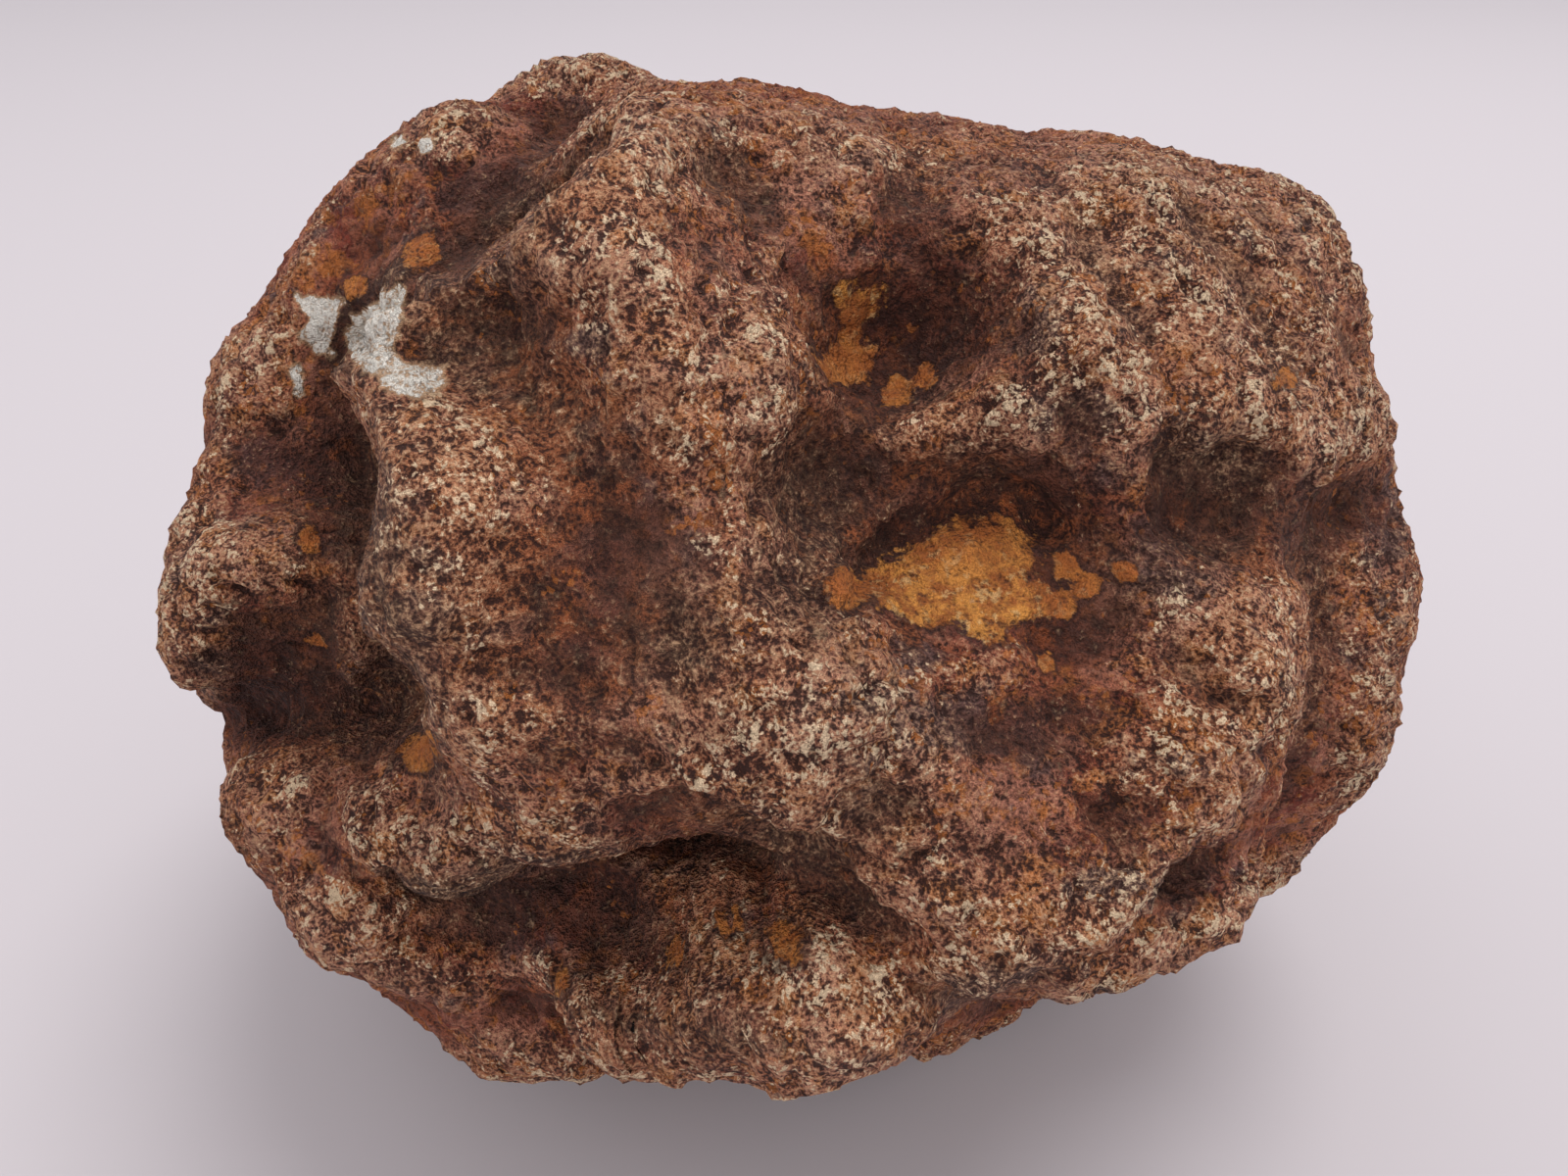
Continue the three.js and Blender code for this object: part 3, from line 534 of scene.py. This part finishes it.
def relief_tree(material):
    """A tree that raises the relief, keeps its height as an attribute, and sets the material."""
    tree = bpy.data.node_groups.new("rind_relief", "GeometryNodeTree")
    face = tree.interface
    face.new_socket("Geometry", in_out="INPUT", socket_type="NodeSocketGeometry")
    for name in RELIEF:
        face.new_socket(name, in_out="INPUT", socket_type="NodeSocketFloat")
    face.new_socket("Geometry", in_out="OUTPUT", socket_type="NodeSocketGeometry")
    given = add(tree, "NodeGroupInput").outputs

    def math_node(operation, a, b=0.0):
        return add(tree, "ShaderNodeMath", {0: a, 1: b}, operation=operation).outputs[0]

    position = add(tree, "GeometryNodeInputPosition").outputs[0]
    place = add(tree, "ShaderNodeVectorMath", {0: position, "Scale": 1 / MM}, operation="SCALE").outputs[0]
    bend = add(tree, "ShaderNodeTexNoise", {"Vector": place, "Scale": 0.35, "Detail": 2.0})
    middle = (0.5, 0.5, 0.5)
    bend = add(tree, "ShaderNodeVectorMath", {0: bend.outputs["Color"], 1: middle}, operation="SUBTRACT")
    bend = add(tree, "ShaderNodeVectorMath", {0: bend.outputs[0], "Scale": given["Bend"]}, operation="SCALE")
    place = add(tree, "ShaderNodeVectorMath", {0: place, 1: bend.outputs[0]}, operation="ADD").outputs[0]

    def over(size):
        return math_node("DIVIDE", 1.0, size)

    lump = add(tree, "ShaderNodeTexNoise", {"Vector": place, "Scale": over(given["Lump size"]),
                                            "Detail": 2.0})
    lump = math_node("MULTIPLY", math_node("SUBTRACT", lump.outputs["Fac"], 0.5), given["Lump height"])
    knob = add(tree, "ShaderNodeTexVoronoi", {"Vector": place, "Scale": over(given["Knob size"]),
                                              "Smoothness": 0.4}, feature="SMOOTH_F1")
    knob = math_node("SUBTRACT", 0.5, knob.outputs["Distance"])
    fissure = add(tree, "ShaderNodeTexNoise", {"Vector": place, "Scale": over(given["Fissure size"]),
                                               "Detail": 3.0})
    fissure = math_node("ABSOLUTE", math_node("SUBTRACT", fissure.outputs["Fac"], 0.5))
    fissure = add(tree, "ShaderNodeMapRange", {"Value": fissure, "From Min": 0.0, "From Max": 0.07,
                                               "To Min": -1.0, "To Max": 0.0},
                  interpolation_type="SMOOTHSTEP").outputs[0]
    grain = add(tree, "ShaderNodeTexVoronoi", {"Vector": place, "Scale": over(given["Grain size"])})
    grain = math_node("SUBTRACT", 0.45, grain.outputs["Distance"])
    fine = math_node("ADD", math_node("MULTIPLY", knob, given["Knob height"]),
                     math_node("MULTIPLY", grain, given["Grain height"]))
    fine = math_node("ADD", fine, math_node("MULTIPLY", fissure, given["Fissure depth"]))
    pit = add(tree, "ShaderNodeTexVoronoi", {"Vector": place, "Scale": over(given["Pit size"])}).outputs
    pit_floor = add(tree, "ShaderNodeMapRange", {"Value": pit["Distance"], "From Min": 0.1, "From Max": 0.5,
                                                 "To Min": -1.0, "To Max": 0.0},
                    interpolation_type="SMOOTHSTEP")
    luck = add(tree, "ShaderNodeSeparateXYZ", {0: pit["Color"]}).outputs[0]
    luck = add(tree, "ShaderNodeMapRange", {"Value": luck, "From Min": 0.4, "From Max": 1.0}).outputs[0]
    pit = math_node("MULTIPLY", math_node("MULTIPLY", pit_floor.outputs[0], luck), given["Pit depth"])
    fine = math_node("ADD", fine, pit)
    calm_share = add(tree, "GeometryNodeInputNamedAttribute", {"Name": "calm"}, data_type="FLOAT").outputs[0]
    rough_share = math_node("SUBTRACT", 1.0, math_node("MULTIPLY", calm_share, 0.75))
    fine = math_node("MULTIPLY", fine, rough_share)
    height = math_node("MULTIPLY", math_node("ADD", lump, fine), MM)
    normal = add(tree, "GeometryNodeInputNormal").outputs[0]
    offset = add(tree, "ShaderNodeVectorMath", {0: normal, "Scale": height}, operation="SCALE").outputs[0]
    kept = add(tree, "GeometryNodeStoreNamedAttribute", {"Geometry": given["Geometry"], "Name": "relief",
                                                         "Value": fine}, data_type="FLOAT", domain="POINT")
    moved = add(tree, "GeometryNodeSetPosition", {"Geometry": kept.outputs[0], "Offset": offset})
    parts = add(tree, "ShaderNodeSeparateXYZ", {0: position}).outputs
    above_floor = math_node("MAXIMUM", parts[2], 0.0)
    level = add(tree, "ShaderNodeCombineXYZ", {0: parts[0], 1: parts[1], 2: above_floor}).outputs[0]
    rested = add(tree, "GeometryNodeSetPosition", {"Geometry": moved.outputs[0], "Position": level})
    real = add(tree, "GeometryNodeRealizeInstances", {0: rested.outputs[0]})
    done = add(tree, "GeometryNodeSetMaterial", {"Geometry": real.outputs[0], "Material": material})
    add(tree, "NodeGroupOutput", {"Geometry": done.outputs[0]})
    return tree


RELIEF = {  # in mm
    "Bend": 2.4,
    "Lump size": 6.0,
    "Lump height": 1.7,
    "Knob size": 2.6,
    "Knob height": 0.8,
    "Fissure size": 5.0,
    "Fissure depth": 0.7,
    "Grain size": 1.3,
    "Grain height": 0.6,
    "Pit size": 3.4,
    "Pit depth": 1.2,
}
print("relief in mm:", RELIEF)

# %% [markdown]
# The material is weathered limonite: iron oxide and clay with a dull, earthy surface. It scatters light
# broadly, so its roughness is high and its sheen is faint. Its colour is built from the large to the
# small: mottling of a few millimetres, stains with painted shade in the hollows, and single grains with
# painted highlight on top and painted shade between. Ochre powder and the quartz crust come last,
# because they lie over the rest.

# %% The rind's material


def linear(hex_colour):
    """An sRGB hex colour as the linear values that Blender wants."""
    channels = [int(hex_colour[i:i + 2], 16) / 255 for i in (1, 3, 5)]
    return [c / 12.92 if c <= 0.04045 else ((c + 0.055) / 1.055) ** 2.4 for c in channels] + [1.0]


IRON_BROWN = linear("#b8623e")
DUST_BROWN = linear("#c87f66")
MAROON = linear("#863424")
AMBER = linear("#d47c36")
SLATE = linear("#54464c")
TAN_OF_WEAR_AND_HIGHLIGHT = linear("#efbd92")
CREAM = linear("#ffdfb8")
HOLLOW_SHADE_BROWN = linear("#5c2e20")
PIT_SHADE_DARK = linear("#391b14")
OCHRE_GOLD = linear("#e89c48")
OCHRE_PALE = linear("#f4c888")
OCHRE_DEEP = linear("#a8602c")
RUST = linear("#b25c2a")
ORANGE = linear("#b8672e")
QUARTZ_WHITE = linear("#fff7ea")
QUARTZ_CREAM = linear("#d0a680")
CELL_SIZE = 0.55  # mm across a single grain
SCALE_SIZE = 1.0  # mm across a flake
FINE_SIZE = 0.35  # mm across the grit on a flake
DIMPLE_SIZE = 1.5  # mm between dimples
BUMP_HEIGHT = 1.3  # mm


def rind_material():
    """Limonite, weathered in the open: a matte, mottled brown with painted highlight on its grains and
    painted shade between.
    """
    material = bpy.data.materials.new("weathered_limonite_rind")
    material.use_nodes = True
    tree = material.node_tree
    shader = tree.nodes["Principled BSDF"]
    object_place = add(tree, "ShaderNodeTexCoord").outputs["Object"]
    place = add(tree, "ShaderNodeVectorMath", {0: object_place, "Scale": 1 / MM}, operation="SCALE")
    place = place.outputs[0]  # in mm

    def share(name):
        return add(tree, "ShaderNodeAttribute", attribute_name=name).outputs["Fac"]

    def sums(*values):
        total = values[0]
        for value in values[1:]:
            total = add(tree, "ShaderNodeMath", {0: total, 1: value}, operation="ADD").outputs[0]
        return total

    def times(a, b):
        return add(tree, "ShaderNodeMath", {0: a, 1: b}, operation="MULTIPLY").outputs[0]

    def mottle(size, detail=3.0, roughness=0.6, shift=0.0):
        """Noise with lumps of about a size in mm, 0 on average and mostly between -0.5 and 0.5."""
        moved = add(tree, "ShaderNodeVectorMath", {0: bent, 1: (shift, shift, shift)}, operation="ADD")
        made = add(tree, "ShaderNodeTexNoise", {"Vector": moved.outputs[0], "Scale": 1 / size,
                                                "Detail": detail, "Roughness": roughness})
        return add(tree, "ShaderNodeMapRange", {"Value": made.outputs["Fac"], "From Min": 0.25,
                                                "From Max": 0.75, "To Min": -1.0, "To Max": 1.0},
                   clamp=False).outputs[0]

    def between(value, low, high):
        """0 at the low value to 1 at the high one, easing at both ends."""
        return add(tree, "ShaderNodeMapRange", {"Value": value, "From Min": low, "From Max": high},
                   interpolation_type="SMOOTHSTEP").outputs[0]

    def ramp(value, low, high):
        """0 at the low value to 1 at the high one, in a straight line."""
        return add(tree, "ShaderNodeMapRange", {"Value": value, "From Min": low, "From Max": high}).outputs[0]

    def cover(factor, below, above):
        """One colour over another, as far as the factor says."""
        mixed = add(tree, "ShaderNodeMix", {0: factor, 6: below, 7: above}, data_type="RGBA")
        return mixed.outputs[2]

    bend = add(tree, "ShaderNodeTexNoise", {"Vector": place, "Scale": 0.35, "Detail": 1.0}).outputs["Color"]
    bent = add(tree, "ShaderNodeVectorMath", {0: bend, 1: (0.5, 0.5, 0.5), 2: place},
               operation="MULTIPLY_ADD").outputs[0]
    cells = add(tree, "ShaderNodeTexVoronoi", {"Vector": bent, "Scale": 1 / CELL_SIZE}).outputs
    dimples = add(tree, "ShaderNodeTexVoronoi", {"Vector": bent, "Scale": 1 / DIMPLE_SIZE})
    dimples = dimples.outputs["Distance"]
    stain_and_shade_here = share("stain_and_shade")
    wear_and_highlight_here = share("wear_and_highlight")
    scales = mottle(SCALE_SIZE, 3, 0.65, 31)
    fine_grit = mottle(FINE_SIZE, 2, 0.6, 5)
    grains = sums(times(cells["Distance"], -1.6), 0.75)
    pick = add(tree, "ShaderNodeSeparateColor", {0: cells["Color"]}).outputs[0]  # a number for each grain

    # How far a place stands proud of the ground round it, and how strongly that shows here.
    proud = sums(times(scales, 0.8), times(grains, 0.7), times(share("relief"), 0.65), fine_grit)
    proud = sums(proud, times(dimples, 0.7), -0.3)
    vigour = sums(times(wear_and_highlight_here, 0.5), times(mottle(10, 3, 0.6, 47), 0.5), 0.7)
    proud = times(proud, between(vigour, -0.3, 1.4))

    # The body colours, mottled over a few millimetres.
    colour = cover(between(mottle(9), -0.35, 0.35), IRON_BROWN, DUST_BROWN)
    colour = cover(times(between(mottle(6, 4, 0.65, 7), 0.0, 0.4), 0.9), colour, MAROON)
    colour = cover(times(between(mottle(3.5, 4, 0.65, 17), 0.1, 0.5), 0.8), colour, AMBER)
    slated = sums(mottle(5, 4, 0.65, 23), share("slate"))
    colour = cover(times(between(slated, 0.25, 0.85), 0.8), colour, SLATE)

    # The stains and painted shade in the hollows, with gritty edges.
    grit = times(mottle(1.8, 4, 0.65, 57), 0.3)
    colour = cover(times(between(sums(stain_and_shade_here, grit), 0.05, 0.9), 0.9), colour, HOLLOW_SHADE_BROWN)
    rusted = sums(share("rust"), grit, mottle(5, 3, 0.6, 91))
    colour = cover(times(between(rusted, 0.5, 1.0), 0.6), colour, RUST)
    # Painted shade: the deepest hollows go nearly black-brown.
    colour = cover(times(between(sums(stain_and_shade_here, grit), 0.8, 1.05), 0.85), colour, PIT_SHADE_DARK)

    # The grain: painted highlight and some wear on top, painted shade in the gaps, with amber and cream
    # grains strewn in it.
    colour = cover(times(wear_and_highlight_here, 0.15), colour, TAN_OF_WEAR_AND_HIGHLIGHT)
    lit = sums(proud, times(pick, 0.25), times(wear_and_highlight_here, 0.6), times(stain_and_shade_here, -0.45))
    # Painted highlight, with some wear: the proud places and pale ground turn tan.
    colour = cover(times(ramp(lit, 0.25, 1.75), 0.95), colour, TAN_OF_WEAR_AND_HIGHLIGHT)
    # Painted shade: the low places of the grain go dark.
    colour = cover(times(ramp(times(proud, -1.0), -0.05, 0.75), 0.95), colour, PIT_SHADE_DARK)
    glints = sums(pick, times(mottle(6, 3, 0.6, 63), 0.5), times(stain_and_shade_here, -0.3))
    colour = cover(times(between(glints, 0.8, 1.1), 0.6), colour, AMBER)
    flecks = sums(times(pick, 0.9), times(proud, 0.5), times(wear_and_highlight_here, 0.65), times(stain_and_shade_here, -0.6))
    flecks = sums(flecks, times(mottle(4, 3, 0.6, 3), 0.6))
    colour = cover(times(between(flecks, 1.15, 1.5), 0.95), colour, CREAM)

    # Ochre powder, with a dark rim, and painted shade in the low grains that it has not filled.
    powder = cover(between(mottle(4, 4, 0.7, 71), -0.3, 0.4), OCHRE_DEEP, OCHRE_GOLD)
    powder = cover(times(between(mottle(1.2, 3, 0.6, 77), 0.2, 0.6), 0.6), powder, OCHRE_PALE)
    powder = cover(times(share("orange"), 0.8), powder, ORANGE)
    powder = cover(times(ramp(times(proud, -1.0), 0.1, 1.0), 0.8), powder, PIT_SHADE_DARK)
    ragged = sums(share("ochre"), grit)
    # The same dark brown makes a rim round the ochre.
    colour = cover(times(between(ragged, 0.1, 0.4), 0.7), colour, PIT_SHADE_DARK)
    colour = cover(times(between(ragged, 0.4, 0.55), 0.95), colour, powder)

    # The quartz, a white crust with a cream rim.
    colour = cover(times(between(sums(share("quartz"), grit), 0.15, 0.4), 0.8), colour, QUARTZ_CREAM)
    crust = cover(between(mottle(1.4, 3, 0.6, 83), -0.9, -0.4), QUARTZ_CREAM, QUARTZ_WHITE)
    # Painted shade: the crust's low places turn cream.
    crust = cover(times(ramp(times(proud, -1.0), 0.1, 0.9), 0.9), crust, QUARTZ_CREAM)
    colour = cover(between(sums(share("quartz"), times(grit, 1.2)), 0.4, 0.5), colour, crust)

    tree.links.new(colour, shader.inputs["Base Color"])
    shader.inputs["Roughness"].default_value = 0.88
    shader.inputs["IOR"].default_value = 1.5  # of the clay and dust that coat the iron oxide
    shader.inputs["Specular IOR Level"].default_value = 0.35
    height = sums(times(scales, 0.6), times(grains, 0.35), times(fine_grit, 0.35), dimples)
    height = times(height, sums(1.0, times(share("calm"), -0.5)))
    bump = add(tree, "ShaderNodeBump", {"Height": height, "Strength": 1.0, "Distance": BUMP_HEIGHT * MM})
    tree.links.new(bump.outputs[0], shader.inputs["Normal"])
    return material


rind = rind_material()
print(rind.name, "has", len(rind.node_tree.nodes), "nodes")

# %% The relief is applied, and the piece takes the solid's place
shaping = geode.modifiers.new("relief", "NODES")
shaping.node_group = relief_tree(rind)
for socket in shaping.node_group.interface.items_tree:
    if socket.name in RELIEF:
        shaping[socket.identifier] = RELIEF[socket.name]
ready = geode.evaluated_get(bpy.context.evaluated_depsgraph_get())
finished = bpy.data.meshes.new_from_object(ready)
geode.modifiers.clear()
geode.data = finished
finished.name = "geode_rind"
finished.shade_smooth()
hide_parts("geode")
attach(geode, "root")
print("rind:", len(finished.vertices), "corners,", 2 * len(finished.polygons), "triangles")

# %% [markdown]
# The stage is plain: a pale floor that runs to a pale sky, one large soft light high on the right, and
# the sky's own light, so that hollows and the left side fall into soft shade. A weak light from the front
# opens the shade under the stone, and another keeps the floor behind it as pale as the sky.

# %% Floor, light and camera
STAGE_GREY = linear("#c6bfc2")
SKY_WHITE = linear("#f1f0f4")
SKY_STRENGTH = 0.96
BACKDROP_PLACE = (0.0, 2.4, 0.0)


def stage():
    """A square floor of matte paper."""
    reach = 6.0  # metres from the middle to each side
    corners = [(-reach, -reach, 0), (reach, -reach, 0), (reach, reach, 0), (-reach, reach, 0)]
    floor_mesh = bpy.data.meshes.new("floor")
    floor_mesh.from_pydata(corners, [], [(0, 1, 2, 3)])
    floor = bpy.data.objects.new("floor", floor_mesh)
    bpy.context.scene.collection.objects.link(floor)
    paper = bpy.data.materials.new("matte_paper")
    paper.use_nodes = True
    paper.node_tree.nodes["Principled BSDF"].inputs["Base Color"].default_value = STAGE_GREY
    paper.node_tree.nodes["Principled BSDF"].inputs["Roughness"].default_value = 0.95
    floor_mesh.materials.append(paper)


def light(name, place, size, power, target):
    """A round soft light: its place and size in metres, its power in watts, and what it points at."""
    lamp = bpy.data.lights.new(name, "AREA")
    lamp.shape = "DISK"
    lamp.size = size
    lamp.energy = power
    holder = bpy.data.objects.new(name, lamp)
    bpy.context.scene.collection.objects.link(holder)
    holder.location = place
    holder.rotation_euler = (Vector(target) - Vector(place)).to_track_quat("-Z", "Y").to_euler()


def camera():
    """The same view that the strokes were placed through."""
    lens = bpy.data.cameras.new("camera")
    lens.sensor_width = 36
    lens.lens = lens.sensor_width * FOCAL / PICTURE[0]
    lens.clip_start = 0.01
    holder = bpy.data.objects.new("camera", lens)
    bpy.context.scene.collection.objects.link(holder)
    holder.location = (CORE_MIDDLE + eye) * MM
    holder.rotation_euler = Vector(forward).to_track_quat("-Z", "Y").to_euler()
    bpy.context.scene.camera = holder


stage()
light("window", (0.5, 0.2, 2.2), 1.2, 23.0, CORE_MIDDLE * MM)
light("front_fill", (-0.4, -1.6, 0.7), 1.4, 6.0, CORE_MIDDLE * MM)
light("backdrop_light", (0.0, 2.4, 2.0), 1.6, 3.0, BACKDROP_PLACE)
camera()
sky = bpy.data.worlds.new("sky")
sky.use_nodes = True
sky.node_tree.nodes["Background"].inputs["Color"].default_value = SKY_WHITE
sky.node_tree.nodes["Background"].inputs["Strength"].default_value = SKY_STRENGTH
bpy.context.scene.world = sky
bpy.context.scene.view_settings.view_transform = "Standard"
print("camera at", [round(value, 3) for value in bpy.context.scene.camera.location], "m")
